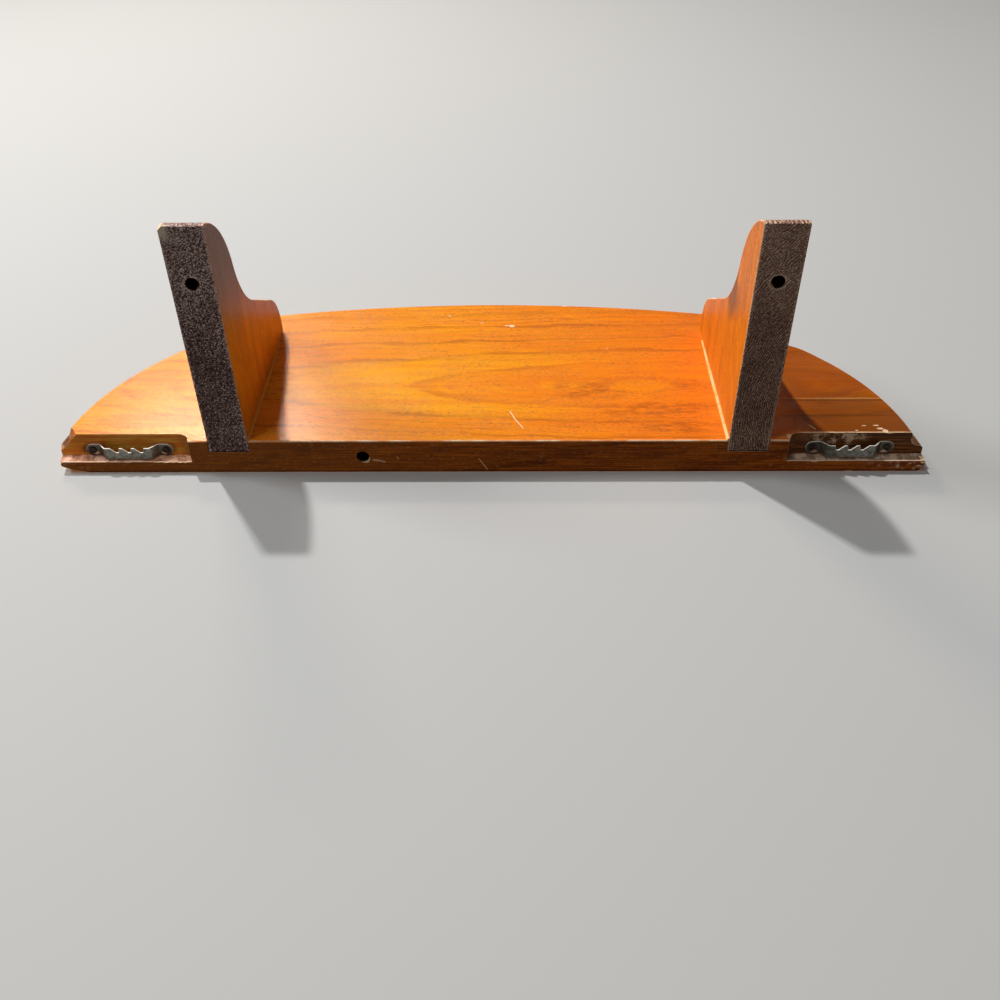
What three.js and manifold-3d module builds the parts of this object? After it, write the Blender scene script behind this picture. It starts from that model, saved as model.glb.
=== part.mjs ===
// A wall shelf: a moulded board on two curved brackets, hung on the wall by two sawtooth hangers.
// Millimetres. X runs along the shelf, -Y points to the front, +Z points up, and Y = 0 is the wall.
// The origin is the middle of the board's back face, half way through its thickness.
import * as THREE from 'three';
import { mergeVertices, toCreasedNormals } from 'three/addons/utils/BufferGeometryUtils.js';
import Module from 'manifold-3d';

const wasm = await Module();
wasm.setup();

// The board and the plan of its front edge, measured at the lip
const boardLength = 457.2;
const boardDepth = 151;
const boardThickness = 20.2;
const bowRadius = 715;
const bowLength = 264;
const shoulderRadius = 43;
const throatRadius = 11;
const cornerRadius = 39;
const cornerTurn = 47; // degrees from straight ahead at which the end curve tightens
const endRadius = 146.6;
const endCentreSetback = 7; // the end curve is struck from a centre behind the wall

// The moulding along the front edge
const lipHeight = 11.8;
const lipProjection = 9;
const lipTopRound = 4;
const lipLowerRound = 2.2;
const coveRadius = 6.5;
const arrisRound = 0.8;

// The brackets, and the housings that take their feet
const bracketOffset = 135; // from the middle of the board to the middle of each bracket
const bracketThickness = 21.1;
const bracketHeight = 119;
const bracketDepth = 110.5;
const bracketEasing = 0.6;
const toeFlat = 3;
const toeRadius = 47.4;
const toeCentreSetback = 12;
const hollowRadius = 49.4;
const seatSlope = 29; // degrees below level of the straight between the hollow and the nose
const noseRadius = 29.7;
const noseLift = 3.7;
const housingDepth = 7.1;
const housingLength = 95;
const housingFit = 0.2;
const bracketHoleHeight = 90.2;
const bracketHoleRadius = 3.4;
const bracketHoleDepth = 14;

// The spare hole bored into the board's back edge
const edgeHoleOffset = 65.4;
const edgeHoleRadius = 3.4;
const edgeHoleDepth = 16;

// The routed recesses that the hangers lie in, measured from the ends of the board
const recessLength = 72.8;
const recessDepth = 6.5;
const recessLedge = 6.7; // wood left between the recess and the top face
const recessCornerRadius = 6.35;

// The hangers, stamped from sheet steel
const hangerInset = 39.1; // from the end of the board to the middle of the hanger
const hangerLength = 46;
const hangerHeight = 7.2;
const hangerSheet = 0.7;
const hangerRise = 3.9;
const hangerPlateau = 23.4;
const hangerRamp = 3.4;
const hangerSeatGap = 0.2;
const hangerLift = { left: 0.3, right: 1.2 }; // above the ledge of its recess
const nailInset = 3.6;
const nailHoleRadius = 1.25;
const notchCount = 3;
const notchPitch = 6.4;
const notchDepth = 2.7;
const notchFloor = 1.2;
const notchSteepRun = 0.5;
const notchSlopeRun = 3.2;

// The nails that fix them
const nailHeadRadius = 1.9;
const nailHeadThickness = 0.7;
const nailShankRadius = 0.8;
const nailPointLength = 2;
const nailLength = 10;
const nailFit = 0.15;

// Roundness of the curves, and how far a cutting tool runs past the wood
const arcSteps = 10;
const smallArcSteps = 5;
const roundSides = 24;
const nailSides = 12;
const overrun = 5;
const creaseAngle = THREE.MathUtils.degToRad(30);

const topZ = boardThickness / 2;
const undersideZ = -boardThickness / 2;
const ledgeZ = topZ - recessLedge;

const boardWood = new THREE.MeshStandardMaterial({ color: 0xa85a1c, roughness: 0.32, metalness: 0 });
const bracketWood = new THREE.MeshStandardMaterial({ color: 0x96501d, roughness: 0.38, metalness: 0 });
const zincSteel = new THREE.MeshStandardMaterial({ color: 0xb9bdb6, roughness: 0.35, metalness: 1 });
const nailSteel = new THREE.MeshStandardMaterial({ color: 0x4b463f, roughness: 0.5, metalness: 1 });

const group = new THREE.Group();

// A closed geometry as a solid that can be joined and cut
function solid(geometry) {
  const bare = geometry.clone();
  bare.deleteAttribute('normal');
  bare.deleteAttribute('uv');
  const merged = mergeVertices(bare, 1e-4);
  return new wasm.Manifold(new wasm.Mesh({
    numProp: 3,
    vertProperties: new Float32Array(merged.attributes.position.array),
    triVerts: new Uint32Array(merged.index.array),
  }));
}

function geometryOf(manifold) {
  const mesh = manifold.getMesh();
  const geometry = new THREE.BufferGeometry();
  geometry.setAttribute('position', new THREE.BufferAttribute(mesh.vertProperties, 3));
  geometry.setIndex(new THREE.BufferAttribute(mesh.triVerts, 1));
  return toCreasedNormals(geometry, creaseAngle);
}

function addPiece(name, manifold, material) {
  const mesh = new THREE.Mesh(geometryOf(manifold), material);
  mesh.name = name;
  group.add(mesh);
}

// A block between two corners
function block(x0, x1, y0, y1, z0, z1) {
  const box = new THREE.BoxGeometry(x1 - x0, y1 - y0, z1 - z0);
  return solid(box.translate((x0 + x1) / 2, (y0 + y1) / 2, (z0 + z1) / 2));
}

// A hole bored into the wood from the wall side, ending in the drill's point
function boring(x, z, radius, depth) {
  const pointLength = radius * Math.tan(THREE.MathUtils.degToRad(31));
  const profile = [
    new THREE.Vector2(0, -depth),
    new THREE.Vector2(radius, pointLength - depth),
    new THREE.Vector2(radius, overrun),
    new THREE.Vector2(0, overrun),
  ];
  return solid(new THREE.LatheGeometry(profile, roundSides).translate(x, 0, z));
}

// Points along an arc, from its start angle to its end angle, in radians
function arcPoints(x, y, radius, start, end, steps) {
  return new THREE.EllipseCurve(x, y, radius, radius, start, end, end < start).getPoints(steps);
}

// Points along an arc, with angles in degrees counted from straight ahead (-Y) towards +X
function planArc(circle, from, to, steps) {
  const start = THREE.MathUtils.degToRad(from - 90);
  const end = THREE.MathUtils.degToRad(to - 90);
  return arcPoints(circle.x, circle.y, circle.r, start, end, steps);
}

// A circle of the given radius that touches two others from outside, on the side that `side` points to
function circleBetween(a, b, radius, side) {
  const from = new THREE.Vector2(a.x, a.y);
  const along = new THREE.Vector2(b.x, b.y).sub(from);
  const gap = along.length();
  along.normalize();
  const reach = a.r + radius;
  const run = (reach ** 2 - (b.r + radius) ** 2 + gap ** 2) / (2 * gap);
  const rise = Math.sqrt(Math.max(reach ** 2 - run ** 2, 0));
  const across = new THREE.Vector2(-along.y, along.x);
  if (across.dot(side) < 0) across.negate();
  const centre = from.addScaledVector(along, run).addScaledVector(across, rise);
  return { x: centre.x, y: centre.y, r: radius };
}

function headingTo(from, to) {
  return THREE.MathUtils.radToDeg(Math.atan2(to.x - from.x, from.y - to.y));
}

// The circles of the right half of the plan: bow, shoulder, throat, corner and end
function planCircles() {
  const bow = { x: 0, y: bowRadius - boardDepth, r: bowRadius };
  const bowTurn = Math.asin(bowLength / 2 / bowRadius);
  const shoulder = {
    x: bow.x + (bowRadius - shoulderRadius) * Math.sin(bowTurn),
    y: bow.y - (bowRadius - shoulderRadius) * Math.cos(bowTurn),
    r: shoulderRadius,
  };
  const end = {
    x: boardLength / 2 - Math.sqrt(endRadius ** 2 - endCentreSetback ** 2),
    y: endCentreSetback,
    r: endRadius,
  };
  const turn = THREE.MathUtils.degToRad(cornerTurn);
  const corner = {
    x: end.x + (endRadius - cornerRadius) * Math.sin(turn),
    y: end.y - (endRadius - cornerRadius) * Math.cos(turn),
    r: cornerRadius,
  };
  const throat = circleBetween(shoulder, corner, throatRadius, new THREE.Vector2(1, -1));
  return { bow, shoulder, throat, corner, end };
}

// The plan outline drawn in from the lip by `inset`, running on behind the wall at both ends
function planOutline(circles, inset) {
  const { bow, shoulder, throat, corner, end } = circles;
  const convex = (circle) => ({ ...circle, r: circle.r - inset });
  const bowTurn = THREE.MathUtils.radToDeg(Math.asin(bowLength / 2 / bowRadius));
  const shoulderEnd = headingTo(shoulder, throat);
  const cornerStart = headingTo(corner, throat);
  const pastTheWall = 90 + THREE.MathUtils.radToDeg(Math.asin((endCentreSetback + 2 * overrun) / endRadius));
  const half = [
    ...planArc(convex(bow), 0, bowTurn, arcSteps),
    ...planArc(convex(shoulder), bowTurn, shoulderEnd, arcSteps).slice(1),
    ...planArc({ ...throat, r: throat.r + inset }, shoulderEnd - 180, cornerStart - 180, arcSteps).slice(1),
    ...planArc(convex(corner), cornerStart, cornerTurn, smallArcSteps).slice(1),
    ...planArc(convex(end), cornerTurn, pastTheWall, 2 * arcSteps).slice(1),
  ];
  const mirrored = half.slice(1).reverse().map((point) => new THREE.Vector2(-point.x, point.y));
  return [...mirrored, ...half];
}

// The section of the moulded edge as [inset, height] pairs, from the top face down to the underside
function edgeSection() {
  const up = Math.PI / 2;
  const ledge = topZ - lipHeight;
  return [
    ...arcPoints(lipTopRound, topZ - lipTopRound, lipTopRound, up, 2 * up, smallArcSteps),
    ...arcPoints(lipLowerRound, ledge + lipLowerRound, lipLowerRound, 2 * up, 3 * up, smallArcSteps),
    ...arcPoints(lipProjection - coveRadius, ledge - coveRadius, coveRadius, up, 0, smallArcSteps),
    new THREE.Vector2(lipProjection, undersideZ + arrisRound),
    new THREE.Vector2(lipProjection + arrisRound, undersideZ),
  ];
}

// Skins a stack of rings with the same number of points, and closes both ends
function stackRings(rings) {
  const perRing = rings[0].length;
  const positions = rings.flat().flatMap((point) => [point.x, point.y, point.z]);
  const index = [];
  for (let level = 0; level + 1 < rings.length; level += 1) {
    for (let i = 0; i < perRing; i += 1) {
      const next = (i + 1) % perRing;
      const a = level * perRing + i;
      const b = level * perRing + next;
      const c = a + perRing;
      const d = b + perRing;
      index.push(a, c, b, b, c, d);
    }
  }
  const lastRing = (rings.length - 1) * perRing;
  for (const [ring, offset, flip] of [[rings[0], 0, false], [rings.at(-1), lastRing, true]]) {
    const contour = ring.map((point) => new THREE.Vector2(point.x, point.y));
    for (const [a, b, c] of THREE.ShapeUtils.triangulateShape(contour, [])) {
      index.push(offset + a, offset + (flip ? c : b), offset + (flip ? b : c));
    }
  }
  const geometry = new THREE.BufferGeometry();
  geometry.setAttribute('position', new THREE.Float32BufferAttribute(positions, 3));
  geometry.setIndex(index);
  return geometry;
}

function makeBoard() {
  const circles = planCircles();
  const rings = edgeSection().map(({ x: inset, y: z }) =>
    planOutline(circles, inset).map((point) => new THREE.Vector3(point.x, point.y, z)));
  const reach = boardLength / 2 + overrun;
  let board = solid(stackRings(rings));
  board = board.subtract(block(-reach, reach, 0, 8 * overrun, undersideZ - overrun, topZ + overrun));
  for (const side of [-1, 1]) {
    board = board.subtract(housing(side)).subtract(recess(side));
    for (const x of nailPlaces(side)) board = board.subtract(pilotHole(x, hangerZ(side)));
  }
  return board.subtract(boring(-edgeHoleOffset, 0, edgeHoleRadius, edgeHoleDepth));
}

// The stopped housing in the underside that a bracket's foot is glued into
function housing(side) {
  const middle = side * bracketOffset;
  const halfWidth = bracketThickness / 2 + housingFit;
  return block(
    middle - halfWidth, middle + halfWidth,
    -housingLength, overrun,
    undersideZ - overrun, undersideZ + housingDepth,
  );
}

// The recess routed along the back edge, open to the wall, the underside and the end of the board
function recess(side) {
  const start = side * (boardLength / 2 - recessLength);
  const end = side * (boardLength / 2 + overrun);
  const corner = Math.min(recessCornerRadius, recessDepth);
  const plan = new THREE.Shape();
  plan.moveTo(start, overrun);
  plan.lineTo(start, corner - recessDepth);
  const centreX = start + side * corner;
  const from = side > 0 ? Math.PI : 0;
  const round = arcPoints(centreX, corner - recessDepth, corner, from, from + side * Math.PI / 2, arcSteps);
  for (const point of round.slice(1)) plan.lineTo(point.x, point.y);
  plan.lineTo(end, -recessDepth);
  plan.lineTo(end, overrun);
  const depth = ledgeZ - undersideZ + overrun;
  const geometry = new THREE.ExtrudeGeometry(plan, { depth, bevelEnabled: false });
  return solid(geometry.translate(0, 0, undersideZ - overrun));
}

// The side of a bracket as [distance from the wall, distance below the underside] pairs
function bracketProfile() {
  const toeReach = toeFlat + toeCentreSetback;
  const toe = {
    x: -toeCentreSetback,
    y: bracketHeight - Math.sqrt(toeRadius ** 2 - toeReach ** 2),
    r: toeRadius,
  };
  const nose = { x: bracketDepth - noseRadius, y: noseLift, r: noseRadius };
  const slope = THREE.MathUtils.degToRad(seatSlope);
  const normal = new THREE.Vector2(Math.sin(slope), Math.cos(slope));
  const along = new THREE.Vector2(Math.cos(slope), -Math.sin(slope));

  // The hollow's centre lies its radius above the straight and touches the toe's circle
  const noseTop = new THREE.Vector2(nose.x, nose.y).addScaledVector(normal, noseRadius);
  const toeCentre = new THREE.Vector2(toe.x, toe.y);
  const above = hollowRadius - toeCentre.clone().sub(noseTop).dot(normal);
  const run = Math.sqrt(Math.max((toeRadius + hollowRadius) ** 2 - above ** 2, 0));
  const hollow = toeCentre.clone().addScaledVector(normal, above).addScaledVector(along, run);
  const meeting = Math.atan2(hollow.y - toe.y, hollow.x - toe.x);

  const toeStart = Math.acos(toeReach / toeRadius);
  const seatAngle = Math.atan2(normal.y, normal.x);
  const foot = housingLength - housingFit;
  return [
    new THREE.Vector2(0, bracketHeight),
    ...arcPoints(toe.x, toe.y, toeRadius, toeStart, meeting, arcSteps),
    ...arcPoints(hollow.x, hollow.y, hollowRadius, meeting + Math.PI, seatAngle + Math.PI, arcSteps).slice(1),
    ...arcPoints(nose.x, nose.y, noseRadius, seatAngle, 0, arcSteps),
    new THREE.Vector2(bracketDepth, housingFit),
    new THREE.Vector2(foot, housingFit),
    new THREE.Vector2(foot, housingFit - housingDepth),
    new THREE.Vector2(0, housingFit - housingDepth),
  ];
}

function makeBracket(side) {
  const profile = bracketProfile().map((point) => new THREE.Vector2(-point.x, undersideZ - point.y));
  const geometry = new THREE.ExtrudeGeometry(new THREE.Shape(profile), {
    depth: bracketThickness - 2 * bracketEasing,
    bevelThickness: bracketEasing,
    bevelSize: bracketEasing,
    bevelOffset: -bracketEasing,
    bevelSegments: 1,
    curveSegments: 1,
  });
  const turned = new THREE.Matrix4().makeBasis(
    new THREE.Vector3(0, 1, 0), new THREE.Vector3(0, 0, 1), new THREE.Vector3(1, 0, 0),
  );
  const middle = side * bracketOffset;
  geometry.applyMatrix4(turned).translate(middle - bracketThickness / 2 + bracketEasing, 0, 0);
  const hole = boring(middle, undersideZ - bracketHoleHeight, bracketHoleRadius, bracketHoleDepth);
  return solid(geometry).subtract(hole);
}

function hangerZ(side) {
  return ledgeZ - (side < 0 ? hangerLift.left : hangerLift.right) - hangerHeight / 2;
}

function hangerX(side) {
  return side * (boardLength / 2 - hangerInset);
}

function nailPlaces(side) {
  const offset = side * (hangerLength / 2 - nailInset);
  return [hangerX(side) - offset, hangerX(side) + offset];
}

// The strip seen from the wall, about its own middle: round ends, nail holes and the toothed edge.
// Each notch falls gently from the outer side and rises steeply on the inner side.
function hangerFace() {
  const half = hangerHeight / 2;
  const straight = hangerLength / 2 - half;
  const face = new THREE.Shape();
  face.moveTo(-straight, half);
  face.absarc(-straight, 0, half, Math.PI / 2, Math.PI * 1.5, false);
  const notchLength = notchSteepRun + notchFloor + notchSlopeRun;
  for (let i = 0; i < notchCount; i += 1) {
    const x = (i - (notchCount - 1) / 2) * notchPitch - notchLength / 2;
    face.lineTo(x, -half);
    face.lineTo(x + notchSteepRun, notchDepth - half);
    face.lineTo(x + notchSteepRun + notchFloor, notchDepth - half);
    face.lineTo(x + notchLength, -half);
  }
  face.lineTo(straight, -half);
  face.absarc(straight, 0, half, -Math.PI / 2, Math.PI / 2, false);
  for (const end of [-1, 1]) {
    const hole = new THREE.Path();
    hole.absarc(end * (hangerLength / 2 - nailInset), 0, nailHoleRadius, 0, Math.PI * 2, true);
    face.holes.push(hole);
  }
  return face;
}

// The strip seen from above: flat tabs on the recess floor and a middle that stands off towards the wall
function hangerBend() {
  const floor = hangerSeatGap - recessDepth;
  const far = hangerLength / 2 + overrun;
  const rampFoot = hangerPlateau / 2 + hangerRamp;
  const rampTop = hangerPlateau / 2;
  const bend = new THREE.Shape();
  bend.moveTo(-far, floor);
  bend.lineTo(-rampFoot, floor);
  bend.lineTo(-rampTop, floor + hangerRise);
  bend.lineTo(rampTop, floor + hangerRise);
  bend.lineTo(rampFoot, floor);
  bend.lineTo(far, floor);
  bend.lineTo(far, floor + hangerSheet);
  bend.lineTo(rampFoot + bendShift(), floor + hangerSheet);
  bend.lineTo(rampTop + bendShift(), floor + hangerRise + hangerSheet);
  bend.lineTo(-rampTop - bendShift(), floor + hangerRise + hangerSheet);
  bend.lineTo(-rampFoot - bendShift(), floor + hangerSheet);
  bend.lineTo(-far, floor + hangerSheet);
  return bend;
}

// How far the outer face of a ramp shifts so that the sheet keeps its thickness round the bend
function bendShift() {
  const ramp = Math.atan2(hangerRise, hangerRamp);
  return hangerSheet * Math.tan(ramp / 2);
}

function makeHanger(side) {
  const strip = new THREE.ExtrudeGeometry(hangerBend(), { depth: 2 * hangerHeight, bevelEnabled: false });
  strip.translate(0, 0, -hangerHeight);
  const stamping = new THREE.ExtrudeGeometry(hangerFace(), {
    depth: 2 * recessDepth,
    bevelEnabled: false,
    curveSegments: arcSteps,
  });
  const upright = new THREE.Matrix4().makeBasis(
    new THREE.Vector3(1, 0, 0), new THREE.Vector3(0, 0, 1), new THREE.Vector3(0, -1, 0),
  );
  stamping.applyMatrix4(upright).translate(0, overrun, 0);
  let hanger = solid(strip).intersect(solid(stamping));
  if (side < 0) hanger = hanger.mirror([1, 0, 0]);
  return hanger.translate([hangerX(side), 0, hangerZ(side)]);
}

// A nail with a slightly domed head, driven square into the recess floor
function makeNail(x, z) {
  const headSeat = hangerSeatGap + hangerSheet + nailFit - recessDepth;
  const profile = [
    new THREE.Vector2(0, -nailLength),
    new THREE.Vector2(nailShankRadius, nailPointLength - nailLength),
    new THREE.Vector2(nailShankRadius, 0),
    new THREE.Vector2(nailHeadRadius, 0),
    new THREE.Vector2(nailHeadRadius, nailHeadThickness / 2),
    new THREE.Vector2(nailHeadRadius / 2, nailHeadThickness),
    new THREE.Vector2(0, nailHeadThickness),
  ];
  return solid(new THREE.LatheGeometry(profile, nailSides).translate(x, headSeat, z));
}

function pilotHole(x, z) {
  const length = nailLength + nailFit - hangerSheet - hangerSeatGap + overrun;
  const radius = nailShankRadius + nailFit;
  const hole = new THREE.CylinderGeometry(radius, radius, length, nailSides);
  return solid(hole.translate(x, overrun - recessDepth - length / 2, z));
}

addPiece('shelf_board', makeBoard(), boardWood);
for (const [name, side] of [['left', -1], ['right', 1]]) {
  addPiece(`bracket_${name}`, makeBracket(side), bracketWood);
  addPiece(`hanger_${name}`, makeHanger(side), zincSteel);
  const [inner, outer] = nailPlaces(side);
  addPiece(`hanger_nail_${name}_inner`, makeNail(inner, hangerZ(side)), nailSteel);
  addPiece(`hanger_nail_${name}_outer`, makeNail(outer, hangerZ(side)), nailSteel);
}

export default group;
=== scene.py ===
import math

import bmesh
import bpy
from mathutils import Matrix, Vector


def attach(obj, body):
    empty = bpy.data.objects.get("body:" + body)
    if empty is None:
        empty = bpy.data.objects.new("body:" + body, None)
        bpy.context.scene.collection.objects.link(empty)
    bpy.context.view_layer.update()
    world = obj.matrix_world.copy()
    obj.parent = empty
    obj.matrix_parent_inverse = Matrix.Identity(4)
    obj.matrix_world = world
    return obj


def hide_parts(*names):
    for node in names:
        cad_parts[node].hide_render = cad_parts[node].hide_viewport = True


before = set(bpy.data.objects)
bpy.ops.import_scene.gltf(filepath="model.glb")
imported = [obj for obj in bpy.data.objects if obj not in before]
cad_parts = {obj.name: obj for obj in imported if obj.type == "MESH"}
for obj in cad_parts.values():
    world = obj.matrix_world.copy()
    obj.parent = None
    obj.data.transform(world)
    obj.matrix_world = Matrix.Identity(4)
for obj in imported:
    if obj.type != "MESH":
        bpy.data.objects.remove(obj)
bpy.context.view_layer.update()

MM = 0.001
AXES = {"X": (1, 0, 0), "Y": (0, 1, 0), "Z": (0, 0, 1)}
SIDES = {"left": -1, "right": 1}
NEAR = 1e-6

# The places of the finishes in the lists of the board and the brackets
VARNISHED, BACK, WORN = range(3)

# The board and the plan of its front edge, measured at the lip. The turns are degrees from straight
# ahead. The end's curve runs on past the wall and is cut off there.
BOARD_LENGTH = 457.2
BOARD_DEPTH = 151
TOP = 10.1
UNDERSIDE = -10.1
BOW_RADIUS = 715
BOW_LENGTH = 264
SHOULDER_RADIUS = 43
THROAT_RADIUS = 11
CORNER_RADIUS = 39
CORNER_TURN = 47
END_RADIUS = 146.6
END_SETBACK = 7
END_TURN = 100

# The moulded edge
LIP_HEIGHT = 11.8
LIP_PROJECTION = 9
LIP_TOP_ROUND = 4
LIP_LOWER_ROUND = 2.2
COVE_RADIUS = 6.5
ARRIS = 0.8

# The brackets and their housings
BRACKET_MIDDLE = 135
BRACKET_THICKNESS = 21.1
BRACKET_HEIGHT = 119
BRACKET_DEPTH = 110.5
TOE = UNDERSIDE - BRACKET_HEIGHT
TOE_FLAT = 3
TOE_RADIUS = 47.4
TOE_SETBACK = 12
HOLLOW_RADIUS = 49.4
SEAT_SLOPE = 29
NOSE_RADIUS = 29.7
NOSE_LIFT = 3.7
HOUSING_DEPTH = 7.1
HOUSING_LENGTH = 95
FIT = 0.2
HOLE_RADIUS = 3.4
BRACKET_HOLE_Z = UNDERSIDE - 90.2
BRACKET_HOLE_DEPTH = 14
EDGE_HOLE_X = -65.4
EDGE_HOLE_DEPTH = 16
DRILL_SLOPE = 31

# The recesses, the hangers in them and their nails
RECESS_START = 155.8
RECESS_DEPTH = 6.5
LEDGE = 3.4
RECESS_CORNER = 6.35
HANGER_X = 189.5
HANGER_Z = {"left": -0.5, "right": -1.4}
HANGER_LENGTH = 46
HANGER_HEIGHT = 7.2
SHEET = 0.7
SHEET_BEND = 0.8
HANGER_RISE = 3.9
PLATEAU = 23.4
RAMP = 3.4
SEAT_GAP = 0.2
NAIL_REACH = HANGER_LENGTH / 2 - 3.6
NAIL_LENGTH = 10
NAIL_POINT = 2
NAIL_SHANK = 0.8
NAIL_RADIUS = 2
PILOT_RADIUS = 0.95
PILOT_DEPTH = RECESS_DEPTH + 9.5
NOTCH_PITCH = 6.4
NOTCH_DEPTH = 2.7

# The round saw that cut the right bracket's back
SAW_CENTRE = (235, 0, -20)
SAW_PITCH = 1.1

# The camera as fitted to the photo: its turns in degrees, its focal length in pixels
CAMERA_PLACE = (13.47, 429.92, -329.2)
CAMERA_TURNS = ((180, "X"), (0.977, "Z"), (90 - 39.852, "X"), (-0.698, "Z"))
FOCAL_LENGTH = 1035.17
PHOTO_WIDTH = 1000
SENSOR_WIDTH = 36


# Modelling

def at(x, y, z):
    return Vector((x, y, z)) * MM


def leave_all():
    if bpy.context.object and bpy.context.object.mode != "OBJECT":
        bpy.ops.object.mode_set(mode="OBJECT")
    bpy.ops.object.select_all(action="DESELECT")


def work_on(piece):
    """Makes this piece the only selected one."""
    leave_all()
    piece.select_set(True)
    bpy.context.view_layer.objects.active = piece


def take_all():
    bpy.ops.mesh.select_all(action="SELECT")


def edit(piece):
    work_on(piece)
    bpy.ops.object.mode_set(mode="EDIT")
    bpy.ops.mesh.select_mode(type="VERT")
    take_all()


def settle(piece):
    """Puts the piece's place into its mesh."""
    work_on(piece)
    bpy.ops.object.transform_apply(location=True, rotation=True, scale=True)


def start_point(name, point):
    """A new piece in edit mode that is one selected point."""
    leave_all()
    bpy.ops.mesh.primitive_plane_add(size=MM, location=point)
    piece = bpy.context.object
    piece.name = name
    settle(piece)
    edit(piece)
    bpy.ops.mesh.merge(type="CENTER")
    return piece


def line(x, y, z):
    """Extrudes what is selected by this step."""
    bpy.ops.mesh.extrude_region_move(TRANSFORM_OT_translate={"value": at(x, y, z)})


def trace(*steps):
    for step in steps:
        line(*step)


def arc(centre, axis, degrees, steps):
    """Spins what is selected round a centre. The operator itself turns the other way."""
    bpy.ops.mesh.spin(steps=steps, angle=-math.radians(degrees), center=centre, axis=AXES[axis])


def choose(piece, kind, test):
    """Selects the points, edges or faces for which the test holds."""
    bpy.ops.mesh.select_mode(type=kind)
    bpy.ops.mesh.select_all(action="DESELECT")
    mesh = bmesh.from_edit_mesh(piece.data)
    for part in {"VERT": mesh.verts, "EDGE": mesh.edges, "FACE": mesh.faces}[kind]:
        if test(part):
            part.select_set(True)
    bmesh.update_edit_mesh(piece.data)


def on_plane(axis, value):
    """A test for open edges that lie in a plane square to the axis."""
    index = "XYZ".index(axis)
    return lambda edge: edge.is_boundary and all(abs(v.co[index] - value * MM) < NEAR for v in edge.verts)


def on_back(vertex):
    return abs(vertex.co.y) < NEAR


def face_out(piece):
    edit(piece)
    bpy.ops.mesh.remove_doubles(threshold=NEAR)
    bpy.ops.mesh.normals_make_consistent(inside=False)
    leave_all()


def turn_round(piece, x, z, steps):
    """Spins the drawn outline round an axis that runs along Y."""
    take_all()
    arc(at(x, 0, z), "Y", 360, steps)
    face_out(piece)


def fill():
    take_all()
    bpy.ops.mesh.edge_face_add()


def bevel(width, segments, kind="EDGES", **settings):
    bpy.ops.mesh.bevel(offset=width * MM, segments=segments, affect=kind, **settings)


def use(piece, kind, **settings):
    """Adds a modifier with these settings and applies it."""
    work_on(piece)
    bpy.ops.object.modifier_add(type=kind)
    modifier = piece.modifiers[-1]
    for key, value in settings.items():
        setattr(modifier, key, value)
    bpy.ops.object.modifier_apply(modifier=modifier.name)


def cut(piece, tool, operation="DIFFERENCE"):
    """Cuts the piece with a tool. The cut faces take the tool's finish."""
    use(piece, "BOOLEAN", operation=operation, solver="EXACT", material_mode="TRANSFER", object=tool)
    bpy.data.objects.remove(tool)


def box(name, x0, x1, y0, y1, z0, z1):
    leave_all()
    bpy.ops.mesh.primitive_cube_add(size=1, location=at((x0 + x1) / 2, (y0 + y1) / 2, (z0 + z1) / 2))
    piece = bpy.context.object
    piece.name = name
    piece.scale = at(x1 - x0, y1 - y0, z1 - z0)
    settle(piece)
    return piece


def drill(name, x, z, radius, depth, sides=40):
    """A drill that enters from the wall side, with its point."""
    point = radius * math.tan(math.radians(DRILL_SLOPE))
    piece = start_point(name, at(x, -depth, z))
    trace((radius, point, 0), (0, depth + 5 - point, 0), (-radius, 0, 0))
    turn_round(piece, x, z, sides)
    return piece


def finish_with(piece, *materials):
    piece.data.materials.clear()
    for material in materials:
        piece.data.materials.append(material)
    return piece


def smooth(piece, angle=30):
    """Smooths the roundings and keeps the large faces flat."""
    work_on(piece)
    bpy.ops.object.shade_smooth_by_angle(angle=math.radians(angle))
    use(piece, "WEIGHTED_NORMAL", mode="FACE_AREA", weight=100, keep_sharp=True)


# Finishes

def add(tree, kind, inputs=None, **settings):
    """Places a node. An input that is given as a socket is linked, any other is set."""
    made = tree.nodes.new("ShaderNode" + kind)
    for key, value in settings.items():
        setattr(made, key, value)
    for key, value in (inputs or {}).items():
        if isinstance(value, bpy.types.NodeSocket):
            tree.links.new(value, made.inputs[key])
        else:
            made.inputs[key].default_value = value
    return made


def work_out(tree, operation, a, b=0.0, c=0.0, clamp=False):
    return add(tree, "Math", {0: a, 1: b, 2: c}, operation=operation, use_clamp=clamp).outputs[0]


def plus(tree, first, *others):
    for other in others:
        first = work_out(tree, "ADD", first, other)
    return first


def less(tree, a, b):
    return work_out(tree, "SUBTRACT", a, b)


def times(tree, first, *others):
    for other in others:
        first = work_out(tree, "MULTIPLY", first, other)
    return first


def apart(tree, a, b):
    """How far two values lie from each other."""
    return work_out(tree, "ABSOLUTE", less(tree, a, b))


def length(tree, vector):
    return add(tree, "VectorMath", {0: vector}, operation="LENGTH").outputs["Value"]


def spread(tree, value, low, high, to_low=0.0, to_high=1.0):
    """Eases a value from one range to another."""
    return add(tree, "MapRange", {"Value": value, "From Min": low, "From Max": high, "To Min": to_low,
                                  "To Max": to_high}, interpolation_type="SMOOTHSTEP").outputs[0]


def cloud(tree, place, scale, detail=2.0, roughness=0.5, size=(1, 1, 1)):
    """Soft random light and dark, about one patch in a unit. Place is in millimetres."""
    stretched = add(tree, "VectorMath", {0: place, 1: size}, operation="MULTIPLY").outputs[0]
    return add(tree, "TexNoise", {"Vector": stretched, "Scale": scale, "Detail": detail,
                                  "Roughness": roughness}).outputs["Fac"]


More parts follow.
